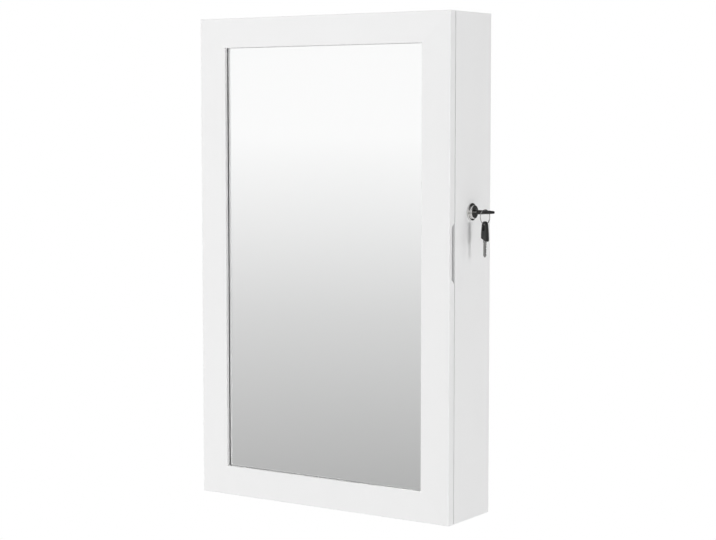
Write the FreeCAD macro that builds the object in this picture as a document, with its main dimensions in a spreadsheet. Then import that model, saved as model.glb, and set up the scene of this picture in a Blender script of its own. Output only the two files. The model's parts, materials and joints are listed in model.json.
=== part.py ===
import FreeCAD, Part
import math
import os
from types import SimpleNamespace

import Sketcher

# Wall-hung jewelry cabinet with a full-length mirror door, lockable from its side.
# Millimetres. X to the right, Y towards the wall, Z up.
# Origin: centre of the two wall-screw holes, on the wall plane.

document = FreeCAD.newDocument("jewelry_cabinet")
sheet = document.addObject("Spreadsheet::Sheet", "sizes")

SIZES = (
    # carcass
    ("width", 366),
    ("height", 600),
    ("carcass_depth", 81.2),
    ("board", 12),
    ("back_board", 5),
    ("back_rebate", 6),
    ("edge_round", 1),
    ("screw_drop", 40),
    ("screw_spacing", 240),
    ("screw_hole_radius", 2.75),
    ("rail_thickness", 14),
    ("dowel_radius", 3),
    ("dowel_length", 28),
    ("dowel_depth", 8),
    ("dowel_inset", 18),
    # clearances
    ("fit", 0.05),
    ("slip", 0.3),
    # door
    ("door_thickness", 11),
    ("stile_width", 38.8),
    ("rail_width", 36.6),
    ("lip_depth", 4.5),
    ("glass_rebate", 6),
    ("glass_thickness", 3),
    ("backing_thickness", 3.4),
    ("scoop_height", 320),
    ("scoop_length", 70.5),
    ("scoop_taper", 8),
    ("scoop_depth", 3.2),
    ("scoop_skip", 0.8),
    ("scoop_round", 3),
    ("overcut", 2),
    ("clip_spread", 150),
    ("clip_span", 73.2),
    ("clip_length", 16),
    ("clip_width", 10),
    ("clip_thickness", 0.8),
    ("clip_screw_radius", 1.4),
    ("clip_screw_head", 2.8),
    ("clip_screw_depth", 6),
    ("clip_head_height", 1.2),
    # hinges
    ("leaf_thickness", 0.8),
    ("leaf_gap", 0.2),
    ("leaf_width", 10.5),
    ("hinge_length", 50),
    ("hinge_inset", 70),
    ("knuckle_radius", 2.2),
    ("knuckle_gap", 0.2),
    ("pin_radius", 1.1),
    ("pin_head_radius", 2),
    ("pin_crown_radius", 1.4),
    ("pin_head_height", 1),
    ("hinge_screw_radius", 1.1),
    ("hinge_screw_length", 9),
    ("hinge_screw_spacing", 32),
    # lock
    ("lock_height", 366.7),
    ("lock_round", 0.8),
    ("lock_inset", 45),
    ("collar_radius", 10.5),
    ("collar_thickness", 2.2),
    ("boss_radius", 8),
    ("boss_length", 5.4),
    ("barrel_reach", 10.7),
    ("plug_radius", 5.5),
    ("plug_square", 7),
    ("nut_width", 21),
    ("nut_thickness", 4),
    ("cam_length", 26),
    ("cam_width", 12),
    ("cam_thickness", 2),
    ("cam_round", 4.8),
    ("cam_screw_head", 4),
    ("cam_head_height", 2.4),
    ("cam_screw_length", 6.5),
    ("cam_screw_bore", 7),
    ("cam_play", 1),
    ("strike_drop", 14),
    ("strike_thickness", 1.5),
    ("strike_width", 12.4),
    ("strike_height", 34),
    ("strike_window", 5.6),
    ("strike_rim", 5),
    ("strike_lead", 1.5),
    ("strike_round", 2),
    ("strike_screw_rise", 2),
    ("strike_screw_pitch", 10),
    ("strike_screw_depth", 7),
    ("strike_head_height", 1.4),
    # keys
    ("bow_length", 24.3),
    ("bow_width", 12.6),
    ("bow_end_width", 10.8),
    ("bow_thickness", 4.6),
    ("bow_end_thickness", 2.8),
    ("bow_taper", 15),
    ("bow_slant", 4),
    ("bow_round", 1.1),
    ("bow_heel_round", 1.8),
    ("bow_slot_width", 5.4),
    ("bow_slot_length", 8.6),
    ("bow_slot_rim", 3),
    ("bow_slot_round", 2.48),
    ("bow_end_round", 5),
    ("neck_length", 1),
    ("neck_width", 5.4),
    ("blade_width", 4.4),
    ("blade_thickness", 1.6),
    ("blade_length", 17),
    ("blade_tip", 2),
    ("blade_cut", 1.2),
    ("key_socket", 8),
    ("key_end_gap", 1),
    ("ring_radius", 8.6),
    ("ring_wire", 0.5),
    ("ring_turn", 10),
    ("ring_slide", 1.5),
    ("spare_turn", 30),
    ("ring_drop", 5.3),
    # catch and bumpers
    ("catch_width", 40),
    ("catch_height", 12),
    ("catch_depth", 16),
    ("catch_inset", 31),
    ("plate_thickness", 1),
    ("plate_margin", 4),
    ("bumper_radius", 4),
    ("bumper_inset", 20),
    ("bumper_height", 1.5),
    ("magnet_width", 30),
    ("magnet_height", 7),
    ("magnet_depth", 9),
    # inside
    ("lining", 2.5),
    ("shelf_thickness", 9),
    ("shelf_setback", 13),
    ("divider_setback", 19),
    ("side_bay", 122),
    ("watch_bay", 102),
    ("main_shelf_height", 146),
    ("lock_bay_below", 120.4),
    ("lock_bay_above", 50.6),
    ("guard_radius", 2),
    ("guard_rise", 14),
    ("guard_bore", 3),
    ("hook_rail_height", 18),
    ("hook_rail_depth", 12),
    ("hook_count", 8),
    ("hook_wire", 1),
    ("hook_reach", 14),
    ("hook_bend", 3),
    ("hook_tip", 5),
    ("hook_bore", 6),
    ("rod_radius", 5),
    ("rod_drop", 35),
    ("socket_radius", 8),
    ("socket_depth", 6),
    ("socket_floor", 2),
    ("earring_bar_height", 14),
    ("earring_bar_thickness", 6),
    ("earring_bar_drop", 18),
    ("earring_bar_step", 48),
    ("notch_count", 14),
    ("notch_width", 4),
    ("notch_depth", 4),
    ("tray_height", 18),
    ("tray_wall", 4),
    ("roll_count", 5),
)

for row, (alias, number) in enumerate(SIZES, start=1):
    sheet.set("A%d" % row, alias)
    sheet.set("B%d" % row, str(number))
    sheet.setAlias("B%d" % row, alias)
document.recompute()


class Size:
    """A length that knows both its value and the sheet formula that gives it."""

    def __init__(self, value, formula=None):
        self.value = float(value)
        self.formula = formula if formula else "%.10g" % self.value

    def combine(self, other, sign, result):
        return Size(result, "(%s %s %s)" % (self.formula, sign, other.formula))

    def __add__(self, other):
        other = as_size(other)
        return self.combine(other, "+", self.value + other.value)

    def __sub__(self, other):
        other = as_size(other)
        return self.combine(other, "-", self.value - other.value)

    def __mul__(self, other):
        other = as_size(other)
        return self.combine(other, "*", self.value * other.value)

    def __truediv__(self, other):
        other = as_size(other)
        return self.combine(other, "/", self.value / other.value)

    def __radd__(self, other):
        return as_size(other) + self

    def __rsub__(self, other):
        return as_size(other) - self

    def __rmul__(self, other):
        return as_size(other) * self

    def __neg__(self):
        return Size(-self.value, "(0 - %s)" % self.formula)


def as_size(number):
    """The number itself when it is already a size, or a plain number as one."""
    return number if isinstance(number, Size) else Size(number)


s = SimpleNamespace(**{alias: Size(number, "sizes." + alias) for alias, number in SIZES})

# Planes that most pieces are set out from.
left = -s.width / 2
right = s.width / 2
top = s.screw_drop
bottom = s.screw_drop - s.height
inner_left = left + s.board
inner_right = right - s.board
inner_top = top - s.board
inner_bottom = bottom + s.board
carcass_front = -s.carcass_depth
door_back = carcass_front - 2 * s.leaf_thickness - s.leaf_gap
door_front = door_back - s.door_thickness
lining_front = -s.back_board - s.lining
rail_bottom = -inner_top
lock_z = bottom + s.lock_height
lock_y = -s.lock_inset

sub_parts = []


class Piece:
    """One sub-part made as a body: sketches on its own planes, and features on them."""

    def __init__(self, name, x=0, y=0, z=0):
        self.body = document.addObject("PartDesign::Body", name)
        self.body.Label = name
        for axis, place in (("x", x), ("y", y), ("z", z)):
            self.body.setExpression("Placement.Base." + axis, as_size(place).formula)
        sub_parts.append(self.body)

    def plane(self, role):
        return next(f for f in self.body.Origin.OriginFeatures if f.Role == role)

    def sketch(self, role, loops, lift=0):
        """A sketch on one of the body's planes, lifted along its normal."""
        sketch = self.body.newObject("Sketcher::SketchObject", "Sketch")
        sketch.AttachmentSupport = [(self.plane(role), "")]
        sketch.MapMode = "FlatFace"
        sketch.setExpression("AttachmentOffset.Base.z", as_size(lift).formula)
        for loop in loops:
            loop(sketch)
        return sketch

    def feature(self, kind, sketch, length, reverse=False):
        feature = self.body.newObject("PartDesign::" + kind, kind)
        feature.Profile = sketch
        feature.setExpression("Length", as_size(length).formula)
        feature.Reversed = reverse
        self.body.Tip = feature
        return feature

    def pad(self, role, loops, length, lift=0, reverse=False):
        return self.feature("Pad", self.sketch(role, loops, lift), length, reverse)

    def pocket(self, role, loops, length, lift=0, reverse=False):
        return self.feature("Pocket", self.sketch(role, loops, lift), length, reverse)

    def revolve(self, role, loops, axis="V_Axis"):
        """A full turn of a profile about its sketch's own axis."""
        sketch = self.sketch(role, loops)
        feature = self.body.newObject("PartDesign::Revolution", "Revolution")
        feature.Profile = sketch
        feature.ReferenceAxis = (sketch, [axis])
        feature.Angle = 360
        self.body.Tip = feature
        return feature

    def dress(self, kind, radius, chosen):
        """A fillet or chamfer on the tip's edges that the test picks by their middles."""
        document.recompute()
        base = self.body.Tip
        names = ["Edge%d" % (i + 1) for i, edge in enumerate(base.Shape.Edges) if chosen(edge)]
        feature = self.body.newObject("PartDesign::" + kind, kind)
        feature.Base = (base, names)
        side = "Radius" if kind == "Fillet" else "Size"
        feature.setExpression(side, as_size(radius).formula)
        self.body.Tip = feature
        return feature


def polygon(points):
    """A closed loop of straight lines through points given as sizes."""
    points = [(as_size(u), as_size(v)) for u, v in points]

    def draw(sketch):
        first = sketch.GeometryCount
        count = len(points)
        for i in range(count):
            start, end = points[i], points[(i + 1) % count]
            start_point = FreeCAD.Vector(start[0].value, start[1].value, 0)
            end_point = FreeCAD.Vector(end[0].value, end[1].value, 0)
            sketch.addGeometry(Part.LineSegment(start_point, end_point), False)
        for i in range(count):
            following = first + (i + 1) % count
            sketch.addConstraint(Sketcher.Constraint("Coincident", first + i, 2, following, 1))
        for i in range(count):
            fix_point(sketch, first + i, 1, points[i])

    return draw


def fix_point(sketch, geometry, end, point):
    """Ties one sketch point to its two sizes."""
    for kind, size in (("DistanceX", point[0]), ("DistanceY", point[1])):
        constraint = Sketcher.Constraint(kind, -1, 1, geometry, end, size.value)
        index = sketch.addConstraint(constraint)
        sketch.setExpression("Constraints[%d]" % index, size.formula)


def circle(u, v, radius):
    """A circle given by its centre and radius."""
    u, v, radius = as_size(u), as_size(v), as_size(radius)

    def draw(sketch):
        centre = FreeCAD.Vector(u.value, v.value, 0)
        normal = FreeCAD.Vector(0, 0, 1)
        index = sketch.addGeometry(Part.Circle(centre, normal, radius.value), False)
        fix_point(sketch, index, 3, (u, v))
        rule = sketch.addConstraint(Sketcher.Constraint("Radius", index, radius.value))
        sketch.setExpression("Constraints[%d]" % rule, radius.formula)

    return draw


def rectangle(u_low, v_low, u_high, v_high):
    return polygon([(u_low, v_low), (u_high, v_low), (u_high, v_high), (u_low, v_high)])


def near(one, other):
    return abs(one - as_size(other).value) < 0.01


def middle(edge):
    return edge.BoundBox.Center


def board_between(name, low, high):
    """A plain board between two corners; its body stands at the low corner."""
    piece = Piece(name, *low)
    wide, deep, tall = [as_size(b) - as_size(a) for a, b in zip(low, high)]
    piece.pad("XY_Plane", [rectangle(0, 0, wide, deep)], tall)
    return piece


def group(name, solids):
    """Several separate solids of one kind under one name."""
    feature = document.addObject("Part::Feature", name)
    feature.Label = name
    feature.Shape = Part.makeCompound(solids) if len(solids) > 1 else solids[0]
    feature.Placement = FreeCAD.Placement()
    sub_parts.append(feature)
    return feature


def vector(x, y, z):
    return FreeCAD.Vector(*[as_size(a).value for a in (x, y, z)])


def cylinder(radius, length, start, direction):
    """A round bar from sizes or plain numbers."""
    radius, length = as_size(radius).value, as_size(length).value
    return Part.makeCylinder(radius, length, vector(*start), vector(*direction))


# ---- carcass ------------------------------------------------------------------------

dowel_levels = (inner_top + s.board / 2, inner_bottom - s.board / 2)
dowel_depths = (carcass_front + s.dowel_inset, -s.back_board - s.dowel_inset)
divider_right = inner_right - s.side_bay
divider_left = divider_right - s.shelf_thickness
lower_divider_right = inner_right - s.watch_bay
lower_divider_left = lower_divider_right - s.shelf_thickness
main_shelf_top = bottom + s.main_shelf_height + s.board
shelf_front = carcass_front + s.shelf_setback
divider_front = carcass_front + s.divider_setback
side_shelf_tops = (lock_z - s.lock_bay_below, lock_z + s.lock_bay_above + s.shelf_thickness)
main_guard = (shelf_front + s.guard_radius, main_shelf_top + s.guard_rise)
side_guards = [(divider_front + 2 * s.guard_radius, level + s.guard_rise) for level in side_shelf_tops]


def side_panel(name, face, sign):
    """A side board with the rebate for the back, dowel bores and guard-rod bores.

    face is the outer face's x, and sign points from it into the cabinet."""
    piece = Piece(name, face, 0, bottom)
    inner = sign * s.board
    rebate = sign * (s.board - s.back_rebate)
    profile = [(0, 0), (0, carcass_front), (inner, carcass_front), (inner, -s.back_board)]
    profile += [(rebate, -s.back_board), (rebate, 0)]
    piece.pad("XY_Plane", [polygon(profile)], s.height)
    bores = [circle(y, level - bottom, s.dowel_radius + s.fit)
             for level in dowel_levels for y in dowel_depths]
    piece.pocket("YZ_Plane", bores, s.dowel_depth + s.slip, lift=inner, reverse=sign < 0)
    rods = [main_guard] if sign > 0 else [main_guard] + side_guards
    bores = [circle(y, level - bottom, s.guard_radius + s.fit) for y, level in rods]
    piece.pocket("YZ_Plane", bores, s.guard_bore, lift=inner, reverse=sign < 0)
    return piece


hinge_levels = (bottom + s.hinge_inset, top - s.hinge_inset)
hinge_screw_levels = [level + side * s.hinge_screw_spacing / 2 for level in hinge_levels for side in (-1, 1)]
hinge_screw_x = left + s.leaf_width / 2


def hinge_screw_bores(column):
    """Pilot bores for the hinge screws, in a face whose sketch starts at the bottom edge."""
    return [circle(column, level - bottom, s.hinge_screw_radius + s.fit) for level in hinge_screw_levels]


def round_outer_edge(piece):
    """Rounds the long outer front edge of a side board."""
    def chosen(edge):
        centre = middle(edge)
        long_edge = edge.Length > s.height.value / 2
        return long_edge and near(centre.x, 0) and near(centre.y, carcass_front)
    piece.dress("Fillet", s.edge_round, chosen)


def build_side_panels():
    panel = side_panel("side_panel_left", left, 1)
    bores = hinge_screw_bores(hinge_screw_x - left)
    panel.pocket("XZ_Plane", bores, s.hinge_screw_length + s.slip, lift=-carcass_front)
    round_outer_edge(panel)
    panel = side_panel("side_panel_right", right, -1)
    bore = circle(lock_y, s.lock_height, s.boss_radius + s.fit)
    panel.pocket("YZ_Plane", [bore], s.board)
    round_outer_edge(panel)


def end_board(name, z_low, outer):
    """The top or bottom board, held between the sides by dowels; outer is its outer face's level."""
    low = (inner_left, carcass_front, z_low)
    piece = board_between(name, low, (inner_right, -s.back_board, z_low + s.board))
    bores = [circle(y - carcass_front, s.board / 2, s.dowel_radius + s.fit) for y in dowel_depths]
    depth = s.dowel_length - s.dowel_depth + s.slip
    piece.pocket("YZ_Plane", bores, depth, reverse=True)
    piece.pocket("YZ_Plane", bores, depth, lift=inner_right - inner_left)

    def chosen(edge):
        centre = middle(edge)
        return near(centre.y, 0) and near(centre.z, outer)
    piece.dress("Fillet", s.edge_round, chosen)


def build_dowels():
    solids = []
    for level in dowel_levels:
        for y in dowel_depths:
            start = inner_left - s.dowel_depth
            solids.append(cylinder(s.dowel_radius, s.dowel_length, (start, y, level), (1, 0, 0)))
            start = inner_right + s.dowel_depth
            solids.append(cylinder(s.dowel_radius, s.dowel_length, (start, y, level), (-1, 0, 0)))
    group("carcass_dowels", solids)


def wall_screw_holes(low_x, low_z):
    """The two wall-screw holes, seen from a board's low corner."""
    columns = (-s.screw_spacing / 2, s.screw_spacing / 2)
    return [circle(column - low_x, -low_z, s.screw_hole_radius) for column in columns]


def build_back():
    low_x = left + s.board - s.back_rebate
    piece = board_between("back_panel", (low_x, -s.back_board, bottom), (-low_x, 0, top))
    piece.pocket("XZ_Plane", wall_screw_holes(low_x, bottom), s.back_board)
    low = (inner_left, -s.back_board - s.rail_thickness, rail_bottom)
    piece = board_between("hanging_rail", low, (inner_right, -s.back_board, inner_top))
    piece.pocket("XZ_Plane", wall_screw_holes(inner_left, rail_bottom), s.rail_thickness)
    low = (inner_left, lining_front, inner_bottom)
    board_between("lining_board", low, (inner_right, -s.back_board, rail_bottom))


# ---- inside -------------------------------------------------------------------------

def build_shelves():
    low = (inner_left, shelf_front, main_shelf_top - s.shelf_thickness)
    board_between("main_shelf", low, (inner_right, lining_front, main_shelf_top))
    low = (divider_left, divider_front, main_shelf_top)
    divider = board_between("divider", low, (divider_right, lining_front, rail_bottom))
    bores = [circle(y - divider_front, level - main_shelf_top, s.guard_radius + s.fit)
             for y, level in side_guards]
    divider.pocket("YZ_Plane", bores, s.guard_bore, lift=s.shelf_thickness)
    for name, level in zip(("side_shelf_lower", "side_shelf_upper"), side_shelf_tops):
        low = (divider_right, divider_front, level - s.shelf_thickness)
        board_between(name, low, (inner_right, lining_front, level))
    low = (lower_divider_left, divider_front, inner_bottom)
    high = (lower_divider_right, lining_front, main_shelf_top - s.shelf_thickness)
    board_between("lower_divider", low, high)


def build_guard_rods():
    inset = s.guard_bore - s.slip
    solids = []
    for low_x, (y, level) in [(inner_left, main_guard)] + [(divider_right, spot) for spot in side_guards]:
        start = (low_x - inset, y, level)
        solids.append(cylinder(s.guard_radius, inner_right - low_x + 2 * inset, start, (1, 0, 0)))
    group("guard_rods", solids)


def bent_hook(x, y, z):
    """A wire hook: a stem standing out of the rail, turned up at its end."""
    bend, wire = s.hook_bend.value, s.hook_wire.value
    start = FreeCAD.Vector(x, y + s.hook_bore.value - s.slip.value, z)
    knee = FreeCAD.Vector(x, y - s.hook_reach.value, z)
    side = bend * math.sin(math.radians(45))
    bulge = knee + FreeCAD.Vector(0, -side, bend - side)
    turned = knee + FreeCAD.Vector(0, -bend, bend)
    tip = turned + FreeCAD.Vector(0, 0, s.hook_tip.value)
    path = Part.Wire([
        Part.makeLine(start, knee),
        Part.Arc(knee, bulge, turned).toShape(),
        Part.makeLine(turned, tip),
    ])
    section = Part.Wire([Part.makeCircle(wire, start, FreeCAD.Vector(0, 1, 0))])
    return path.makePipeShell([section], True, False)


hook_pitch = (divider_left - inner_left) / s.hook_count
hook_columns = [inner_left + hook_pitch * (i + 0.5) for i in range(int(s.hook_count.value))]
hook_level = rail_bottom - s.hook_rail_height / 2
hook_face = lining_front - s.hook_rail_depth


def build_necklace_rail():
    low = (inner_left, hook_face, rail_bottom - s.hook_rail_height)
    rail = board_between("necklace_rail", low, (divider_left, lining_front, rail_bottom))
    level = s.hook_rail_height / 2
    bores = [circle(x - inner_left, level, s.hook_wire + s.fit) for x in hook_columns]
    rail.pocket("XZ_Plane", bores, s.hook_bore)
    hooks = [bent_hook(x.value, hook_face.value, hook_level.value) for x in hook_columns]
    group("necklace_hooks", hooks)


rod_y = (divider_front + lining_front) / 2
rod_z = rail_bottom - s.rod_drop


def build_bracelet_rod():
    start = divider_right + s.socket_floor + s.slip
    length = inner_right - divider_right - 2 * (s.socket_floor + s.slip)
    rod = Piece("bracelet_rod", start, rod_y, rod_z)
    rod.pad("YZ_Plane", [circle(0, 0, s.rod_radius)], length)
    sockets = []
    for face, way in ((divider_right, 1), (inner_right, -1)):
        cup = cylinder(s.socket_radius, s.socket_depth, (face, rod_y, rod_z), (way, 0, 0))
        seat = (face + way * s.socket_floor, rod_y, rod_z)
        sockets.append(cup.cut(cylinder(s.rod_radius + s.fit, s.socket_depth, seat, (way, 0, 0))))
    group("rod_sockets", sockets)


def earring_bar(name, z_high):
    """A bar across the lower bay, with notches along its top edge."""
    half = s.earring_bar_thickness / 2
    low = (inner_left, rod_y - half, z_high - s.earring_bar_height)
    bar = board_between(name, low, (lower_divider_left, rod_y + half, z_high))
    span = lower_divider_left - inner_left
    pitch = span / (s.notch_count + 1)
    tip = [(pitch - s.notch_width / 2, s.earring_bar_height), (pitch, s.earring_bar_height - s.notch_depth)]
    tip.append((pitch + s.notch_width / 2, s.earring_bar_height))
    notch = bar.pocket("XZ_Plane", [polygon(tip)], s.earring_bar_thickness)
    pattern = bar.body.newObject("PartDesign::LinearPattern", "Notches")
    pattern.Originals = [notch]
    pattern.Direction = (notch.Profile[0], ["H_Axis"])
    pattern.setExpression("Length", (span - 2 * pitch).formula)
    pattern.setExpression("Occurrences", s.notch_count.formula)
    bar.body.Tip = pattern


def build_ring_tray():
    low = (inner_left + s.slip, divider_front, inner_bottom)
    high = (lower_divider_left - s.slip, lining_front - s.slip, inner_bottom + s.tray_height)
    tray = board_between("ring_tray", low, high)
    wide, deep = high[0] - low[0], high[1] - low[1]
    hollow = rectangle(s.tray_wall, s.tray_wall, wide - s.tray_wall, deep - s.tray_wall)
    tray.pocket("XY_Plane", [hollow], s.tray_height - s.tray_wall, lift=s.tray_height)
    pitch = (deep - 2 * s.tray_wall) / s.roll_count
    radius = (pitch - s.slip) / 2
    length = wide - 2 * s.tray_wall - 2 * s.slip
    rolls = []
    for i in range(int(s.roll_count.value)):
        y = low[1] + s.tray_wall + pitch * (i + 0.5)
        start = (low[0] + s.tray_wall + s.slip, y, inner_bottom + s.tray_wall + radius)
        roll = cylinder(radius, length, start, (1, 0, 0))
        ends = [edge for edge in roll.Edges if edge.Curve.TypeId == "Part::GeomCircle"]
        rolls.append(roll.makeFillet(radius.value / 2, ends))
    group("ring_rolls", rolls)


# ---- door ---------------------------------------------------------------------------

middle_z = (top + bottom) / 2
glass_inset = s.stile_width - s.glass_rebate
glass_rise = s.rail_width - s.glass_rebate


def mitred_member(name, corner, outline, rebate, bores):
    """A mitred length of the door frame, rebated behind its inner edge."""
    piece = Piece(name, corner[0], door_back, corner[1])
    piece.pad("XZ_Plane", [polygon(outline)], s.door_thickness)
    piece.pocket("XZ_Plane", [rectangle(*rebate)], s.door_thickness - s.lip_depth, reverse=True)
    for loops, depth in bores:
        piece.pocket("XZ_Plane", loops, depth, reverse=True)
    return piece


def round_door_edges(piece, along, outer):
    """Rounds a member's long front edges at its outer and inner sides."""
    def chosen(edge):
        centre = middle(edge)
        across = centre.x if along == "z" else centre.z
        in_front = near(centre.y, -s.door_thickness) and edge.Length > s.stile_width.value * 2
        return in_front and (near(across, 0) or near(across, outer))
    piece.dress("Fillet", s.edge_round, chosen)


def clip_bores(spots):
    return [circle(u, v, s.clip_screw_radius + s.fit) for u, v in spots]


clip_reach = s.clip_length / 2 - s.clip_width / 4


def build_door_frame():
    """Two stiles and two rails; each sketch starts at the member's own outer corner."""
    wide, tall, stile, rail, rebate = s.width, s.height, s.stile_width, s.rail_width, s.glass_rebate
    levels = (tall / 2 - s.clip_spread, tall / 2 + s.clip_spread)
    columns = (wide / 2 - s.clip_span, wide / 2 + s.clip_span)
    screw_column = glass_inset - clip_reach
    screw_row = glass_rise - clip_reach

    outline = [(0, 0), (stile, rail), (stile, tall - rail), (0, tall)]
    hollow = (stile - rebate, 0, stile + s.overcut, tall)
    bores = [(clip_bores([(screw_column, v) for v in levels]), s.clip_screw_depth)]
    bores.append((hinge_screw_bores(s.leaf_width / 2), s.hinge_screw_length))
    piece = mitred_member("door_stile_left", (left, bottom), outline, hollow, bores)
    round_door_edges(piece, "z", stile)

    outline = [(0, 0), (0, tall), (-stile, tall - rail), (-stile, rail)]
    hollow = (-stile - s.overcut, 0, rebate - stile, tall)
    strike_spots = [(cam_x - right, level - bottom) for level in strike_screw_levels]
    bores = [(clip_bores([(-screw_column, v) for v in levels]), s.clip_screw_depth)]
    bores.append((clip_bores(strike_spots), s.strike_screw_depth))
    piece = mitred_member("door_stile_right", (right, bottom), outline, hollow, bores)
    cut_scoop(piece)
    round_door_edges(piece, "z", -stile)

    outline = [(0, 0), (wide, 0), (wide - stile, rail), (stile, rail)]
    hollow = (0, rail - rebate, wide, rail + s.overcut)
    bores = [(clip_bores([(u, screw_row) for u in columns]), s.clip_screw_depth)]
    piece = mitred_member("door_rail_bottom", (left, bottom), outline, hollow, bores)
    round_door_edges(piece, "x", rail)

    outline = [(0, 0), (stile, -rail), (wide - stile, -rail), (wide, 0)]
    hollow = (0, -rail - s.overcut, wide, rebate - rail)
    bores = [(clip_bores([(u, -screw_row) for u in columns]), s.clip_screw_depth)]
    piece = mitred_member("door_rail_top", (left, top), outline, hollow, bores)
    round_door_edges(piece, "x", -rail)


def cut_scoop(piece):
    """The finger scoop: a slanted hollow in the door's edge, deepest at its back."""
    scoop = piece.body.newObject("PartDesign::SubtractiveWedge", "Scoop")
    reach = s.scoop_length / 2
    sides = {
        "Ymin": s.scoop_skip - s.door_thickness, "Ymax": Size(0),
        "Xmin": Size(0), "Xmax": s.overcut,
        "X2min": -s.scoop_depth, "X2max": s.overcut,
        "Zmin": s.scoop_height - reach + s.scoop_taper, "Zmax": s.scoop_height + reach - s.scoop_taper,
        "Z2min": s.scoop_height - reach, "Z2max": s.scoop_height + reach,
    }
    for side, size in sides.items():
        scoop.setExpression(side, size.formula)
    piece.body.Tip = scoop

    def ends(edge):
        box = edge.BoundBox
        slanted = min(box.XLength, box.YLength, box.ZLength) > 1
        return slanted and abs(box.Center.z - s.scoop_height.value) < reach.value
    piece.dress("Fillet", s.scoop_round, ends)


def build_mirror():
    near_x = left + glass_inset + s.slip
    far_x = right - glass_inset - s.slip
    low_z = bottom + glass_rise + s.slip
    high_z = top - glass_rise - s.slip
    front = door_front + s.lip_depth
    board_between("mirror_glass", (near_x, front, low_z), (far_x, front + s.glass_thickness, high_z))
    front = front + s.glass_thickness
    board_between("backing_board", (near_x, front, low_z), (far_x, front + s.backing_thickness, high_z))


def clip_places():
    """Each clip's middle and the way it points, from the frame onto the backing."""
    places = []
    for level in (middle_z - s.clip_spread, middle_z + s.clip_spread):
        places.append((left + glass_inset, level, (1, 0)))
        places.append((right - glass_inset, level, (-1, 0)))
    for column in (-s.clip_span, s.clip_span):
        places.append((column, bottom + glass_rise, (0, 1)))
        places.append((column, top - glass_rise, (0, -1)))
    return places


def screw(radius, length, head, seat, way):
    """A pan-head screw whose head (radius, height) stands on seat, driven along way."""
    forward = FreeCAD.Vector(*way)
    head_radius, head_height = head[0].value, head[1].value
    cap = Part.makeCylinder(head_radius, head_height, seat, -forward)
    crown = seat - forward * head_height
    rims = [edge for edge in cap.Edges if edge.Closed and middle(edge).distanceToPoint(crown) < 0.01]
    return cap.makeFillet(head_height / 2, rims).fuse(cylinder(radius, length, seat, way))


def build_clips():
    clips, screws = [], []
    half, width = s.clip_length.value / 2, s.clip_width.value
    for x, z, way in clip_places():
        x, z = as_size(x).value, as_size(z).value
        wide, tall = (2 * half, width) if way[0] else (width, 2 * half)
        base = FreeCAD.Vector(x - wide / 2, door_back.value, z - tall / 2)
        clip = Part.makeBox(wide, s.clip_thickness.value, tall, base)
        upright = [edge for edge in clip.Edges if near(edge.Length, s.clip_thickness)]
        clip = clip.makeFillet(width / 4, upright)
        spot = vector(x - way[0] * clip_reach.value, door_back, z - way[1] * clip_reach.value)
        clips.append(clip.cut(cylinder(s.clip_screw_radius + s.fit, s.clip_thickness, spot, (0, 1, 0))))
        seat = spot + FreeCAD.Vector(0, s.clip_thickness.value, 0)
        head = (s.clip_screw_head, s.clip_head_height)
        screws.append(screw(s.clip_screw_radius, s.clip_screw_depth, head, seat, (0, -1, 0)))
    group("backing_clips", clips)
    group("clip_screws", screws)


# ---- hinges -------------------------------------------------------------------------

pin_x = -s.knuckle_radius - s.slip
pin_y = -s.leaf_thickness - s.leaf_gap / 2
knuckles = 5
countersink = s.leaf_thickness * 0.85


def hinge_leaf(name, level, face_y, sign, segments):
    """A hinge leaf on one face, with its share of the knuckles.

    sign points from the face into the gap between cabinet and door."""
    leaf = Piece(name, left, face_y, level - s.hinge_length / 2)
    thick = sign * s.leaf_thickness
    axis_y = sign * (s.leaf_thickness + s.leaf_gap / 2)
    leaf.pad("XY_Plane", [rectangle(0, 0, s.leaf_width, thick)], s.hinge_length)
    pitch = s.hinge_length / knuckles
    for i in segments:
        start = pitch * i + s.knuckle_gap / 2
        leaf.pad("XY_Plane", [rectangle(pin_x, 0, 0, thick)], pitch - s.knuckle_gap, lift=start)
        leaf.pad("XY_Plane", [circle(pin_x, axis_y, s.knuckle_radius)], pitch - s.knuckle_gap, lift=start)
    leaf.pocket("XY_Plane", [circle(pin_x, axis_y, s.pin_radius + s.fit)], s.hinge_length, reverse=True)
    levels = [(s.hinge_length + way * s.hinge_screw_spacing) / 2 for way in (-1, 1)]
    holes = [circle(s.leaf_width / 2, level, s.hinge_screw_radius + s.fit) for level in levels]
    leaf.pocket("XZ_Plane", holes, s.leaf_thickness, reverse=sign < 0)

    def chosen(edge):
        return edge.Closed and near(middle(edge).y, thick) and near(middle(edge).x, s.leaf_width / 2)
    leaf.dress("Chamfer", countersink, chosen)


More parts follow.
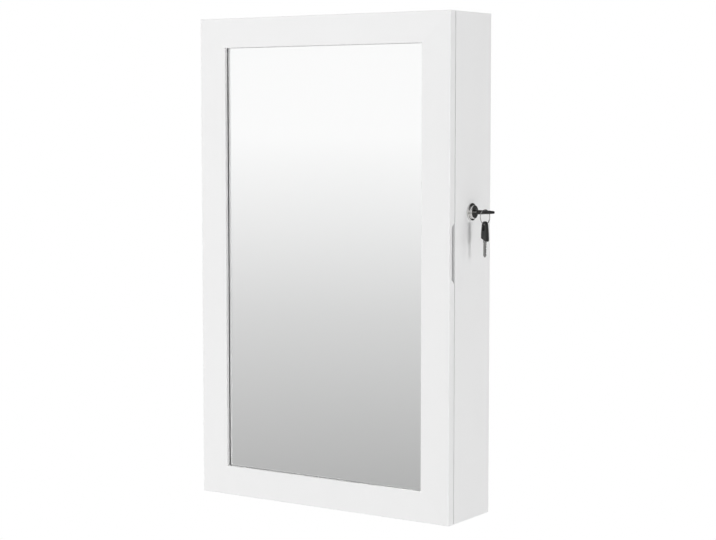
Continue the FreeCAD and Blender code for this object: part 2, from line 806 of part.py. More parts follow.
def build_hinges():
    for place, level in zip(("lower", "upper"), hinge_levels):
        hinge_leaf("hinge_%s_cabinet_leaf" % place, level, carcass_front, -1, (0, 2, 4))
        hinge_leaf("hinge_%s_door_leaf" % place, level, door_back, 1, (1, 3))
        pin = Piece("hinge_%s_pin" % place, left + pin_x, carcass_front + pin_y, level - s.hinge_length / 2)
        shoulder = s.hinge_length
        crown = shoulder + s.pin_head_height
        profile = [(0, 0), (s.pin_radius, 0), (s.pin_radius, shoulder), (s.pin_head_radius, shoulder)]
        profile += [(s.pin_crown_radius, crown), (0, crown)]
        pin.revolve("XZ_Plane", [polygon(profile)])
    for side, face_y, sign in (("cabinet", carcass_front, -1), ("door", door_back, 1)):
        solids = []
        for level in hinge_screw_levels:
            outer = vector(hinge_screw_x, face_y + sign * s.leaf_thickness, level)
            inward = FreeCAD.Vector(0, -sign, 0)
            top_radius = (s.hinge_screw_radius + countersink).value
            head = Part.makeCone(top_radius, s.hinge_screw_radius.value, countersink.value, outer, inward)
            shank = Part.makeCylinder(s.hinge_screw_radius.value, s.hinge_screw_length.value, outer, inward)
            solids.append(head.fuse(shank).removeSplitter())
        group("hinge_screws_" + side, solids)


# ---- lock ---------------------------------------------------------------------------

barrel_end = -s.board - s.barrel_reach
cam_x = right + barrel_end - s.cam_thickness / 2
strike_top = lock_z - s.strike_drop
strike_screw_low = lock_z + s.strike_screw_rise
strike_screw_levels = (strike_screw_low, strike_screw_low + s.strike_screw_pitch)
bow_start = s.boss_length + s.neck_length


def build_lock():
    housing = Piece("lock_housing", right, lock_y, lock_z)
    bore = s.plug_radius + s.fit
    profile = [(barrel_end, bore), (s.boss_length, bore), (s.boss_length, s.boss_radius)]
    profile += [(s.collar_thickness, s.boss_radius), (s.collar_thickness, s.collar_radius)]
    profile += [(0, s.collar_radius), (0, s.boss_radius), (barrel_end, s.boss_radius)]
    housing.revolve("XY_Plane", [polygon(profile)], axis="H_Axis")

    def rims(edge):
        steps = ((s.collar_thickness, s.collar_radius), (s.boss_length, s.boss_radius))
        return any(near(middle(edge).x, x) and near(edge.Length, 2 * math.pi * radius) for x, radius in steps)
    housing.dress("Fillet", s.lock_round, rims)

    nut = Piece("lock_nut", inner_right - s.nut_thickness, lock_y, lock_z)
    corner = s.nut_width / math.sqrt(3)
    flat = s.nut_width / 2
    hexagon = [(-corner / 2, -flat), (corner / 2, -flat), (corner, 0)]
    hexagon += [(corner / 2, flat), (-corner / 2, flat), (-corner, 0)]
    nut.pad("YZ_Plane", [polygon(hexagon), circle(0, 0, s.boss_radius + s.fit)], s.nut_thickness)

    plug = Piece("lock_plug", right, lock_y, lock_z)
    face = s.boss_length - s.slip
    plug.pad("YZ_Plane", [circle(0, 0, s.plug_radius)], face - barrel_end, lift=barrel_end)
    half = s.plug_square / 2
    square = rectangle(-half, -half, half, half)
    plug.pad("YZ_Plane", [square], s.cam_thickness, lift=barrel_end, reverse=True)
    slot_half, slot_high = s.blade_width / 2 + 2 * s.fit, s.blade_thickness / 2 + s.fit
    keyway = rectangle(-slot_half, -slot_high, slot_half, slot_high)
    plug.pocket("YZ_Plane", [keyway], s.blade_length + s.key_end_gap, lift=face)
    thread = circle(0, 0, s.clip_screw_radius + s.fit)
    plug.pocket("YZ_Plane", [thread], s.cam_screw_bore, lift=barrel_end - s.cam_thickness, reverse=True)

    cam = Piece("lock_cam", right + barrel_end - s.cam_thickness, lock_y, lock_z)
    wide = s.cam_width / 2
    eye = half + s.fit
    cam.pad("YZ_Plane", [rectangle(-s.cam_length, -wide, wide, wide)], s.cam_thickness)
    cam.pocket("YZ_Plane", [rectangle(-eye, -eye, eye, eye)], s.cam_thickness, reverse=True)

    def corners(edge):
        return near(edge.Length, s.cam_thickness) and near(abs(middle(edge).z), wide)
    cam.dress("Fillet", s.cam_round, corners)

    seat = vector(right + barrel_end - s.cam_thickness, lock_y, lock_z)
    head = (s.cam_screw_head, s.cam_head_height)
    group("cam_screw", [screw(s.clip_screw_radius, s.cam_screw_length, head, seat, (1, 0, 0))])


def build_strike():
    """An angle on the door, with a window that the turned cam drops into."""
    window_front = lock_y - s.cam_length - door_back + s.strike_lead
    window_back = lock_y + s.cam_width / 2 + s.cam_play - door_back
    reach = window_back + s.strike_rim
    strike = Piece("strike_bracket", cam_x, door_back, strike_top)
    thick, tall = s.strike_thickness, s.strike_height
    profile = [(0, -thick), (reach, -thick), (reach, 0), (thick, 0), (thick, tall), (0, tall)]
    half = s.strike_width / 2
    strike.pad("YZ_Plane", [polygon(profile)], s.strike_width, lift=-half)
    window = rectangle(-s.strike_window / 2, window_front, s.strike_window / 2, window_back)
    strike.pocket("XY_Plane", [window], thick)
    holes = [circle(0, level - strike_top, s.clip_screw_radius + s.fit) for level in strike_screw_levels]
    strike.pocket("XZ_Plane", holes, thick)

    def corners(edge):
        centre = middle(edge)
        at_end = near(centre.y, reach) or near(centre.z, tall)
        return near(edge.Length, thick) and near(abs(centre.x), half) and at_end
    strike.dress("Fillet", s.strike_round, corners)
    screws = []
    head = (s.clip_screw_head, s.strike_head_height)
    for level in strike_screw_levels:
        seat = vector(cam_x, door_back + thick, level)
        screws.append(screw(s.clip_screw_radius, s.strike_screw_depth, head, seat, (0, -1, 0)))
    group("strike_screws", screws)


# ---- keys and ring ------------------------------------------------------------------

key_cuts = (0.35, 1.0, 0.55, 0.85)  # how deep each cut goes, as a share of the deepest


def blade_outline():
    """The blade's plan: a tang in the bow, a neck that stops on the plug, a cut blade."""
    half, neck = s.blade_width / 2, s.neck_width / 2
    tip = -s.neck_length - s.blade_length
    points = [(s.key_socket, -neck), (s.key_socket, neck), (-s.neck_length, neck), (-s.neck_length, half)]
    pitch = (s.blade_length - 2 * s.blade_tip) / (2 * len(key_cuts) + 1)
    for i, share in enumerate(key_cuts):
        start = -s.neck_length - s.blade_tip / 2 - pitch * (2 * i + 1)
        floor = half - s.blade_cut * share
        points += [(start, half), (start - pitch / 2, floor)]
        points += [(start - pitch, floor), (start - pitch * 1.5, half)]
    points += [(tip + s.blade_tip, half), (tip, 0), (tip + s.blade_tip, -half), (-s.neck_length, -half)]
    points += [(-s.neck_length, -neck)]
    return points


def bow_outline():
    """The bow's plan: a slanted heel, and a far end a little narrower than the heel."""
    half, far = s.bow_width / 2, s.bow_end_width / 2
    return [(s.bow_slant, -half), (s.bow_length, -far), (s.bow_length, far), (0, half)]


def build_key(blade_name, bow_name, x, y, z, turn=None):
    """A flat key lying in its XY plane: bow towards +X, blade towards -X."""
    blade = Piece(blade_name, x, y, z)
    blade.pad("XY_Plane", [polygon(blade_outline())], s.blade_thickness, lift=-s.blade_thickness / 2)
    bow = Piece(bow_name, x, y, z)
    bow.pad("XY_Plane", [polygon(bow_outline())], s.bow_thickness, lift=-s.bow_thickness / 2)

    def corners(edge):
        return near(edge.Length, s.bow_thickness) and near(middle(edge).x, s.bow_length)
    bow.dress("Fillet", s.bow_end_round, corners)

    def heels(edge):
        return near(edge.Length, s.bow_thickness) and middle(edge).x < s.bow_slant.value + 0.1
    bow.dress("Fillet", s.bow_heel_round, heels)

    thick, thin = s.bow_thickness / 2, s.bow_end_thickness / 2
    start, end = s.bow_length - s.bow_taper, s.bow_length
    upper = polygon([(start, thick), (end, thin), (end + s.overcut, thin), (end + s.overcut, thick)])
    lower = polygon([(start, -thick), (end, -thin), (end + s.overcut, -thin), (end + s.overcut, -thick)])
    side = s.bow_width / 2 + s.overcut
    bow.pocket("XZ_Plane", [upper, lower], 2 * side, lift=side)

    def rims(edge):
        box = edge.BoundBox
        upright = max(box.XLength, box.YLength) < 0.01
        crease = near(box.Center.x, start) and near(box.Center.y, 0)
        return not upright and not crease
    bow.dress("Fillet", s.bow_round, rims)
    slot_end = s.bow_length - s.bow_slot_rim
    slot_half = s.bow_slot_width / 2
    slot = rectangle(slot_end - s.bow_slot_length, -slot_half, slot_end, slot_half)
    bow.pocket("XY_Plane", [slot], s.bow_thickness, lift=s.bow_thickness / 2)

    def slot_corners(edge):
        box = edge.BoundBox
        return max(box.XLength, box.YLength) < 0.01 and near(abs(box.Center.y), slot_half)
    bow.dress("Fillet", s.bow_slot_round, slot_corners)
    tang_half, tang_high = s.neck_width / 2 + s.fit, s.blade_thickness / 2 + s.fit
    tang = rectangle(-tang_half, -tang_high, tang_half, tang_high)
    bow.pocket("YZ_Plane", [tang], s.key_socket + s.fit, reverse=True)
    if turn:
        for piece in (blade, bow):
            piece.body.Placement = FreeCAD.Placement(piece.body.Placement.Base, turn)


def level_ways(turn):
    """Two level directions at right angles, turned clockwise from +Y and +X."""
    angle = math.radians(turn.value)
    along = vector(math.sin(angle), math.cos(angle), 0)
    return along, vector(along.y, -along.x, 0)


ring_along, ring_across = level_ways(s.ring_turn)
slot_middle = bow_start + s.bow_length - s.bow_slot_rim - s.bow_slot_width / 2 - s.ring_slide
half_chord = math.sqrt(s.ring_radius.value ** 2 - s.ring_drop.value ** 2)
ring_shift = half_chord - s.ring_wire.value
ring_x = right + slot_middle - ring_shift * ring_along.x
ring_y = lock_y - ring_shift * ring_along.y
ring_z = lock_z - s.ring_drop
spare_z = ring_z - s.ring_radius + s.ring_wire + s.slip + s.bow_slot_rim - s.bow_length


def build_keys():
    build_key("key_blade", "key_bow", right + bow_start, lock_y, lock_z)
    ring = document.addObject("Part::Torus", "key_ring")
    ring.Label = "key_ring"
    ring.setExpression("Radius1", s.ring_radius.formula)
    ring.setExpression("Radius2", s.ring_wire.formula)
    ring.Placement = FreeCAD.Placement(FreeCAD.Vector(), FreeCAD.Rotation(vector(0, 0, 1), ring_across))
    for axis, place in (("x", ring_x), ("y", ring_y), ("z", ring_z)):
        ring.setExpression("Placement.Base." + axis, place.formula)
    sub_parts.append(ring)
    spare_along, spare_across = level_ways(s.spare_turn)
    turn = FreeCAD.Rotation(FreeCAD.Vector(0, 0, 1), spare_across, spare_along, "XYZ")
    build_key("spare_key_blade", "spare_key_bow", ring_x, ring_y, spare_z, turn)


# ---- catch and bumpers --------------------------------------------------------------

def build_catch():
    front = carcass_front - s.leaf_thickness + s.slip
    far_x = inner_right - s.catch_inset
    near_x = far_x - s.catch_width
    low = (near_x, front, inner_top - s.catch_height)
    high = (far_x, front + s.catch_depth, inner_top)
    catch = board_between("magnet_catch", low, high)
    side, rise = (s.catch_width - s.magnet_width) / 2, (s.catch_height - s.magnet_height) / 2
    hollow = rectangle(side, rise, side + s.magnet_width, rise + s.magnet_height)
    catch.pocket("XZ_Plane", [hollow], s.magnet_depth)
    low = (low[0] + side + s.fit, front, low[2] + rise + s.fit)
    wide, tall = s.magnet_width - 2 * s.fit, s.magnet_height - 2 * s.fit
    board_between("catch_magnet", low, (low[0] + wide, front + s.magnet_depth - s.fit, low[2] + tall))
    high_z = inner_top - s.plate_margin / 2
    low = (near_x + s.plate_margin, door_back, high_z - s.catch_height)
    board_between("catch_plate", low, (far_x - s.plate_margin, door_back + s.plate_thickness, high_z))


def build_bumpers():
    solids = []
    for level in (top - s.bumper_inset, bottom + s.bumper_inset):
        start = vector(right - s.board / 2, carcass_front, level)
        pad = cylinder(s.bumper_radius, s.bumper_height, start, (0, -1, 0))
        crown = carcass_front - s.bumper_height
        rims = [edge for edge in pad.Edges if edge.Closed and near(middle(edge).y, crown)]
        solids.append(pad.makeFillet(s.bumper_height.value / 2, rims))
    group("door_bumpers", solids)


build_side_panels()
end_board("top_panel", inner_top, s.board)
end_board("bottom_panel", bottom, 0)
build_dowels()
build_back()
build_shelves()
build_guard_rods()
build_necklace_rail()
build_bracelet_rod()
earring_top = main_shelf_top - s.shelf_thickness - s.earring_bar_drop
earring_bar("earring_bar_upper", earring_top)
earring_bar("earring_bar_lower", earring_top - s.earring_bar_step)
build_ring_tray()
build_door_frame()
build_mirror()
build_clips()
build_hinges()
build_lock()
build_strike()
build_keys()
build_catch()
build_bumpers()
document.recompute()

for item in document.Objects:
    if "Invalid" in item.State or "Error" in item.State:
        raise RuntimeError("%s failed: %s" % (item.Label, item.State))
for item in sub_parts:
    if item.Shape.isNull() or not item.Shape.isValid():
        raise RuntimeError("%s has no valid shape" % item.Label)

os.makedirs("parts", exist_ok=True)
for item in sub_parts:
    item.Shape.exportStep("parts/%s.step" % item.Label)
    print("%-28s %10.1f mm3" % (item.Label, item.Shape.Volume))
print("%d sub-parts" % len(sub_parts))
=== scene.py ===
import json
import math
import random

import bmesh
import bpy
from mathutils import Matrix, Vector


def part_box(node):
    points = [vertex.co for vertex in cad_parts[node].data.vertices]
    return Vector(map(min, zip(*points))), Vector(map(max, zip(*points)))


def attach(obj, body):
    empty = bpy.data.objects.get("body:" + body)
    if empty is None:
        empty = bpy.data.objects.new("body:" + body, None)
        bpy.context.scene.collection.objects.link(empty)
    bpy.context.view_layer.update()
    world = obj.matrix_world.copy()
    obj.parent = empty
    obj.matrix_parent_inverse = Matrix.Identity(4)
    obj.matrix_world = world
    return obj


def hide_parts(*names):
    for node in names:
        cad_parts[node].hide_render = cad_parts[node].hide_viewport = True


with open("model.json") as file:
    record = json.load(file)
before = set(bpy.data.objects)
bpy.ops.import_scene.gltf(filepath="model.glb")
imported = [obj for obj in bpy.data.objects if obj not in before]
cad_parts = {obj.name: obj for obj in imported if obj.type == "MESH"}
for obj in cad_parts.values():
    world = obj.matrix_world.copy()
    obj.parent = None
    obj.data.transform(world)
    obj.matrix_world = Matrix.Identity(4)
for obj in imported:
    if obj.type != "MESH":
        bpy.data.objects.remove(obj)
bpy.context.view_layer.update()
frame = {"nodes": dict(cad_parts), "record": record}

MM = 0.001
WHITE = (1.0, 1.0, 1.0, 1.0)

# ---- node trees -----------------------------------------------------------------------------


class Nodes:
    """A node tree, with short calls for the nodes that the finishes and the studio share."""

    def __init__(self, tree):
        self.tree = tree

    def add(self, kind, **settings):
        node = self.tree.nodes.new(kind)
        for name, value in settings.items():
            setattr(node, name, value)
        return node

    def join(self, output, node, socket):
        self.tree.links.new(output, node.inputs[socket])

    def ramp(self, factor, stops):
        """A colour ramp through (position, colour) stops."""
        node = self.add("ShaderNodeValToRGB")
        elements = node.color_ramp.elements
        while len(elements) < len(stops):
            elements.new(0.5)
        for element, (position, colour) in zip(elements, stops):
            element.position = position
            element.color = (*colour, 1.0)
        self.join(factor, node, "Fac")
        return node.outputs["Color"]

    def mapped(self, value, span, result, blend="LINEAR"):
        """A number mapped from one range to another, and held at its ends."""
        node = self.add("ShaderNodeMapRange", interpolation_type=blend)
        for name, number in zip(("From Min", "From Max", "To Min", "To Max"), (*span, *result)):
            node.inputs[name].default_value = number
        self.join(value, node, "Value")
        return node.outputs["Result"]

    def scaled(self, colour, share):
        """A colour times a number."""
        node = self.add("ShaderNodeVectorMath", operation="SCALE")
        self.join(colour, node, 0)
        self.join(share, node, "Scale")
        return node.outputs["Vector"]

    def mixed(self, share, first, second):
        """The first shader, with as much of the second as the share says."""
        node = self.add("ShaderNodeMixShader")
        for socket, output in (("Fac", share), (1, first), (2, second)):
            self.join(output, node, socket)
        return node.outputs[0]

    def seen_directly(self):
        """1 where camera, gloss or glass looks straight at it; then the camera's share alone."""
        path = self.add("ShaderNodeLightPath")
        total = path.outputs["Is Camera Ray"]
        for name in ("Is Glossy Ray", "Is Transmission Ray"):
            adder = self.add("ShaderNodeMath", operation="ADD", use_clamp=True)
            self.join(total, adder, 0)
            self.join(path.outputs[name], adder, 1)
            total = adder.outputs[0]
        return total, path.outputs["Is Camera Ray"]


class Surface(Nodes):
    """A new material's node tree, round its Principled shader."""

    def __init__(self, name):
        self.material = bpy.data.materials.new(name)
        self.material.use_nodes = True
        super().__init__(self.material.node_tree)
        self.shader = self.tree.nodes["Principled BSDF"]
        self.place = self.add("ShaderNodeTexCoord").outputs["Object"]

    def put(self, **values):
        """Plain numbers on the shader's own sockets."""
        for name, value in values.items():
            self.shader.inputs[name.replace("_", " ")].default_value = value

    def stretched(self, scale):
        """The object's coordinates, scaled differently along each axis."""
        mapping = self.add("ShaderNodeMapping")
        mapping.inputs["Scale"].default_value = scale
        self.join(self.place, mapping, "Vector")
        return mapping.outputs["Vector"]

    def noise(self, scale, detail=2.0, roughness=0.5, vector=None):
        node = self.add("ShaderNodeTexNoise")
        node.inputs["Scale"].default_value = scale
        node.inputs["Detail"].default_value = detail
        node.inputs["Roughness"].default_value = roughness
        self.join(vector or self.place, node, "Vector")
        return node.outputs["Fac"]

    def between(self, factor, first, second):
        """A colour that runs from one to another over the middle of a noise."""
        return self.ramp(factor, [(0.3, first), (0.7, second)])

    def spread(self, factor, low, high):
        """A number from 0 to 1, mapped to a range."""
        return self.mapped(factor, (0.0, 1.0), (low, high))

    def bump(self, height, distance, strength=1.0, under=None):
        """A bumped normal; the distance is in metres, and another bump may lie under it."""
        node = self.add("ShaderNodeBump")
        node.inputs["Distance"].default_value = distance
        node.inputs["Strength"].default_value = strength
        self.join(height, node, "Height")
        if under:
            self.join(under, node, "Normal")
        return node.outputs["Normal"]

    def finish(self, colour, roughness=None, normal=None):
        """Joins what is given to the shader, and hands over the material."""
        sockets = ("Base Color", "Roughness", "Normal")
        for output, socket in zip((colour, roughness, normal), sockets):
            if output:
                self.join(output, self.shader, socket)
        return self.material


# ---- finishes -------------------------------------------------------------------------------


def grey(value, tint=(1.0, 1.0, 1.0)):
    return tuple(value * t for t in tint)


def lacquer():
    """Sprayed white lacquer on fibreboard: satin, with a faint orange peel."""
    n = Surface("white_lacquer")
    n.put(IOR=1.46, Coat_Weight=0.15, Coat_Roughness=0.25)
    cloud = n.noise(7.0, 3.0)
    peel = n.noise(420.0, 3.0, 0.6)
    speck = n.noise(2600.0, 1.0)
    # each board has a tone that is a little its own
    board = n.spread(n.add("ShaderNodeObjectInfo").outputs["Random"], 0.988, 1.0)
    colour = n.scaled(n.between(cloud, grey(0.85), grey(0.862)), board)
    normal = n.bump(speck, 0.01 * MM, 0.4, n.bump(peel, 0.06 * MM, 0.5))
    return n.finish(colour, n.spread(peel, 0.36, 0.46), normal)


def hardboard():
    """The back panel's pressed fibre board, faced white, with its fibres showing through."""
    n = Surface("faced_hardboard")
    fibre = n.noise(520.0, 6.0, 0.75, n.stretched((1.0, 1.0, 0.6)))
    patch = n.noise(9.0, 3.0)
    shades = [(0.3, (0.74, 0.72, 0.68)), (0.5, (0.79, 0.775, 0.75)), (0.72, (0.815, 0.805, 0.785))]
    roughness = n.spread(patch, 0.55, 0.72)
    return n.finish(n.ramp(fibre, shades), roughness, n.bump(fibre, 0.1 * MM, 0.5))


def beech():
    """Plain dowel wood, its grain along X."""
    n = Surface("beech")
    grain = n.noise(90.0, 5.0, 0.6, n.stretched((0.12, 1.0, 1.0)))
    colour = n.between(grain, (0.50, 0.32, 0.17), (0.72, 0.53, 0.33))
    return n.finish(colour, n.spread(grain, 0.5, 0.65), n.bump(grain, 0.1 * MM))


def velvet():
    """Black flocked velvet: short pile that brightens at a grazing angle, with brushed patches."""
    n = Surface("black_velvet")
    n.put(Sheen_Weight=0.35, Sheen_Roughness=0.4, Sheen_Tint=(0.62, 0.60, 0.66, 1.0))
    n.put(Specular_IOR_Level=0.12)
    pile = n.noise(2200.0, 2.0, 0.7)
    brushed = n.noise(34.0, 4.0, 0.6, n.stretched((1.0, 1.0, 0.45)))
    colour = n.ramp(brushed, [(0.25, (0.013, 0.013, 0.015)), (0.75, (0.021, 0.020, 0.023))])
    return n.finish(colour, n.spread(brushed, 0.85, 0.97), n.bump(pile, 0.3 * MM, 0.8))


def plated(name, shade, rough, lines):
    """Plated metal with fine lines along one axis and a little tarnish."""
    n = Surface(name)
    n.put(Metallic=1.0)
    brushed = n.noise(900.0, 3.0, 0.6, n.stretched(lines))
    tarnish = n.noise(70.0, 3.0)
    colour = n.between(tarnish, grey(shade * 0.9, (1.0, 0.99, 0.97)), grey(shade))
    roughness = n.spread(brushed, rough * 0.8, rough * 1.25)
    return n.finish(colour, roughness, n.bump(brushed, 0.02 * MM, 0.5))


def clear_glass():
    """Float glass, faintly green, with a polished face."""
    n = Surface("float_glass")
    n.put(Transmission_Weight=1.0, IOR=1.52)
    haze = n.noise(3.0, 2.0)
    colour = n.between(haze, (0.982, 0.986, 0.984), (0.988, 0.990, 0.989))
    return n.finish(colour, n.spread(haze, 0.0, 0.002))


def silver():
    """The mirror's silvering, very slightly uneven."""
    n = Surface("silvering")
    n.put(Metallic=1.0)
    haze = n.noise(3.0, 2.0)
    colour = n.between(haze, (0.975, 0.978, 0.977), (0.985, 0.985, 0.985))
    return n.finish(colour, n.spread(haze, 0.0, 0.004))


def moulded(name, shade, rough):
    """Injection-moulded plastic with a fine spark grain."""
    n = Surface(name)
    grain = n.noise(3200.0, 2.0, 0.6)
    cloud = n.noise(60.0, 2.0)
    colour = n.between(cloud, grey(shade * 0.85), grey(shade * 1.12))
    roughness = n.spread(grain, rough * 0.85, rough * 1.15)
    return n.finish(colour, roughness, n.bump(grain, 0.03 * MM, 0.6))


def soft_rubber():
    """The bumpers' milky rubber."""
    n = Surface("bumper_rubber")
    n.put(Transmission_Weight=0.25, IOR=1.45)
    grain = n.noise(900.0, 2.0)
    colour = n.between(grain, (0.70, 0.70, 0.68), (0.80, 0.80, 0.79))
    return n.finish(colour, n.spread(grain, 0.4, 0.55), n.bump(grain, 0.03 * MM))


LINES_ALONG_X = (0.06, 1.0, 1.0)
LINES_ALONG_Z = (1.0, 1.0, 0.06)

finishes = {
    "lacquer": lacquer(),
    "board": hardboard(),
    "dowel_wood": beech(),
    "velvet": velvet(),
    "steel": plated("nickel_plate", 0.62, 0.20, LINES_ALONG_Z),
    "lock_metal": plated("gunmetal_nickel", 0.74, 0.13, LINES_ALONG_X),
    "mirror": clear_glass(),
    "black_plastic": moulded("black_bow", 0.007, 0.46),
    "white_plastic": moulded("white_housing", 0.80, 0.45),
    "bumper_rubber": soft_rubber(),
}

# the keys' blades are duller than the other steel
dull_steel = plated("key_steel", 0.30, 0.28, LINES_ALONG_Z)
own_finishes = {"key_blade": dull_steel, "spare_key_blade": dull_steel}


def dress_frame():
    """Gives every CAD node the finish of its slot, or its own."""
    for part in frame["record"]["subparts"]:
        name = part["node"]
        for slot in frame["nodes"][name].material_slots:
            slot.material = own_finishes.get(name) or finishes[part["material_slot"]]


# ---- pieces of the look ---------------------------------------------------------------------


def mesh_piece(name, shape, material, body):
    """A bmesh made into an object that rides on one body and takes its finish from a slot."""
    mesh = bpy.data.meshes.new(name)
    shape.to_mesh(mesh)
    shape.free()
    piece = bpy.data.objects.new(name, mesh)
    bpy.context.collection.objects.link(piece)
    mesh.materials.append(material)
    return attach(piece, body)


def box_mesh(low, high):
    """A bmesh box between two corners."""
    shape = bmesh.new()
    bmesh.ops.create_cube(shape, size=1.0)
    for vertex in shape.verts:
        vertex.co = [lo if c < 0 else hi for c, lo, hi in zip(vertex.co, low, high)]
    return shape


def join_rings(shape, rings):
    """Bands of quads between rings that follow one another."""
    for first, second in zip(rings, rings[1:]):
        for i in range(len(first)):
            j = (i + 1) % len(first)
            shape.faces.new((first[i], first[j], second[j], second[i]))


def close_ring(shape, ring, place):
    """A fan of triangles from a ring to a point."""
    middle = shape.verts.new(place)
    for i, vertex in enumerate(ring):
        shape.faces.new((vertex, ring[(i + 1) % len(ring)], middle))


# ---- mirror ---------------------------------------------------------------------------------

FILM_BACK = 2.0 * MM  # behind the glass's front face
FILM_THICKNESS = 0.02 * MM
FILM_EDGE = 0.5 * MM  # short of the glass's edges


def build_silvering():
    """The silver film, inside the 3 mm glass."""
    low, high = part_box("mirror_glass")
    back = low.y + FILM_BACK
    shape = box_mesh((low.x + FILM_EDGE, back - FILM_THICKNESS, low.z + FILM_EDGE),
                     (high.x - FILM_EDGE, back, high.z - FILM_EDGE))
    mesh_piece("mirror_silvering", shape, silver(), "door")


# ---- ring rolls -----------------------------------------------------------------------------

ROLL_COUNT = 5
ROLL_STATIONS = 72
ROLL_SIDES = 28

# shares of a roll's radius
END_ROUNDING = 0.75  # length of the rounded end
TUCK_REACH = 1.1  # how far in the tucked folds fade
TUCK_HEIGHT = 0.045
SLOW_WAVE = (0.010, 31.0)  # height, and phase from end to end in radians
QUICK_WAVE = (0.008, 67.0)
MIDDLE_SWELL = 0.015
SIDE_FLAT = 0.97  # half width between neighbours
FOOT_FLAT = 0.90  # depth of the flat below the axis
SINK = 0.10  # how far the velvet's axis lies below the CAD roll's
TIP_DROP = 0.05  # how far the gathered tip lies below the CAD roll's axis

TUCK_FOLDS = 7  # round each end


def roll_section(along, turn, length, radius, seed):
    """A point's distance from a roll's axis: rounded ends with tucked folds, an uneven middle."""
    to_end = min(along, 1.0 - along) * length
    short_of_full = 1.0 - min(to_end / (radius * END_ROUNDING), 1.0)
    rounded = math.sqrt(max(0.0, 1.0 - short_of_full ** 2))
    gathered = math.exp(-to_end / (radius * TUCK_REACH))
    folds = TUCK_HEIGHT * gathered * math.cos(TUCK_FOLDS * turn + seed)
    slow_height, slow_phase = SLOW_WAVE
    quick_height, quick_phase = QUICK_WAVE
    wave = slow_height * math.sin(along * slow_phase + seed) * math.sin(turn + seed)
    wave += quick_height * math.sin(along * quick_phase + 2.0 * seed)
    crown = 1.0 - MIDDLE_SWELL + MIDDLE_SWELL * math.sin(math.pi * along)
    return radius * rounded * (crown + wave + folds)


def add_roll(shape, low, high, centre_y, radius, seed):
    """One roll along X, its foot on the box's floor."""
    length = high.x - low.x
    centre_z = low.z + radius
    rings = []
    for station in range(1, ROLL_STATIONS):
        # stations crowd towards the ends
        along = 0.5 - 0.5 * math.cos(math.pi * station / ROLL_STATIONS)
        ring = []
        for side in range(ROLL_SIDES):
            turn = 2.0 * math.pi * side / ROLL_SIDES
            out = roll_section(along, turn, length, radius, seed)
            y = max(-SIDE_FLAT * radius, min(SIDE_FLAT * radius, out * math.cos(turn)))
            z = max(-FOOT_FLAT * radius, out * math.sin(turn)) - SINK * radius
            place = (low.x + along * length, centre_y + y, max(low.z, centre_z + z))
            ring.append(shape.verts.new(place))
        rings.append(ring)
    join_rings(shape, rings)
    for ring, x in ((rings[0], low.x), (rings[-1], high.x)):
        close_ring(shape, ring, (x, centre_y, centre_z - TIP_DROP * radius))


def build_ring_rolls():
    """Five soft rolls: foam wrapped in velvet, flat where they rest and where they meet."""
    low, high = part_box("ring_rolls")
    pitch = (high.y - low.y) / ROLL_COUNT
    shape = bmesh.new()
    for roll in range(ROLL_COUNT):
        # the seed lays each roll's folds differently
        add_roll(shape, low, high, low.y + pitch * (roll + 0.5), pitch / 2, seed=1.7 * roll + 0.4)
    for face in shape.faces:
        face.smooth = True
    bmesh.ops.recalc_face_normals(shape, faces=shape.faces)
    piece = mesh_piece("ring_rolls_velvet", shape, finishes["velvet"], "root")
    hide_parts("ring_rolls")


# ---- screws ---------------------------------------------------------------------------------

SCREWS = (
    # node, body, way out of the work, then in millimetres: head radius, head height (0 when
    # countersunk), shank radius and shank length
    ("hinge_screws_cabinet", "root", (0, -1, 0), 1.78, 0.0, 1.1, 9.0),
    ("hinge_screws_door", "door", (0, 1, 0), 1.78, 0.0, 1.1, 9.0),
    ("clip_screws", "door", (0, 1, 0), 2.8, 1.2, 1.4, 6.0),
    ("strike_screws", "door", (0, 1, 0), 2.8, 1.4, 1.4, 7.0),
    ("cam_screw", "lock", (-1, 0, 0), 4.0, 2.4, 1.4, 6.5),
)

# a pan head's outline from the foot to the top: share of its radius, share of its height
PAN_HEAD = ((1.0, 1.0), (1.0, 0.5), (0.95, 0.22), (0.84, 0.06), (0.72, 0.0))
COUNTERSUNK_RIM = 0.05  # millimetres
COUNTERSUNK_TOP = 0.97  # share of the head's radius

# the cross recess, in shares of the head's radius
CROSS_REACH = 0.60
CROSS_HALF_WIDTH = 0.15
CROSS_DEPTH = 0.40
CROSS_TAPER = 0.8  # size at the bottom, as a share of the size at the top
CROSS_POINT = 1.2  # depth in the middle, as a share of the depth round it

WELD = 0.01 * MM
ROUNDING = 1e-9


def solid_boxes(node):
    """The box of every separate solid in a CAD node, in a fixed order."""
    shape = bmesh.new()
    shape.from_mesh(frame["nodes"][node].data)
    bmesh.ops.remove_doubles(shape, verts=shape.verts, dist=WELD)
    left = set(shape.verts)
    boxes = []
    while left:
        reached = [left.pop()]
        places = []
        while reached:
            vertex = reached.pop()
            places.append(vertex.co.copy())
            for edge in vertex.link_edges:
                other = edge.other_vert(vertex)
                if other in left:
                    left.remove(other)
                    reached.append(other)
        low, high = (Vector([end(column) for column in zip(*places)]) for end in (min, max))
        boxes.append((low, high))
    shape.free()
    return sorted(boxes, key=lambda box: tuple(box[0]))


def cross_outline(reach, half_width):
    """Angles and radii around a cross recess: arm ends, arm sides and inner corners."""
    corner = math.atan2(half_width, reach)
    eighth = math.pi / 4
    # one arm's share of the turn: its end, its side, the inner corner and the next arm's side
    turns = (0.0, corner, (corner + eighth) / 2, eighth)
    turns += (eighth * 1.5 - corner / 2, 2 * eighth - corner)
    outline = []
    for arm in range(4):
        for turn in turns:
            folded = min(turn, 2 * eighth - turn)
            on_end = folded <= corner + ROUNDING
            out = reach / math.cos(folded) if on_end else half_width / math.sin(folded)
            outline.append((turn + arm * 2 * eighth, out))
    return outline


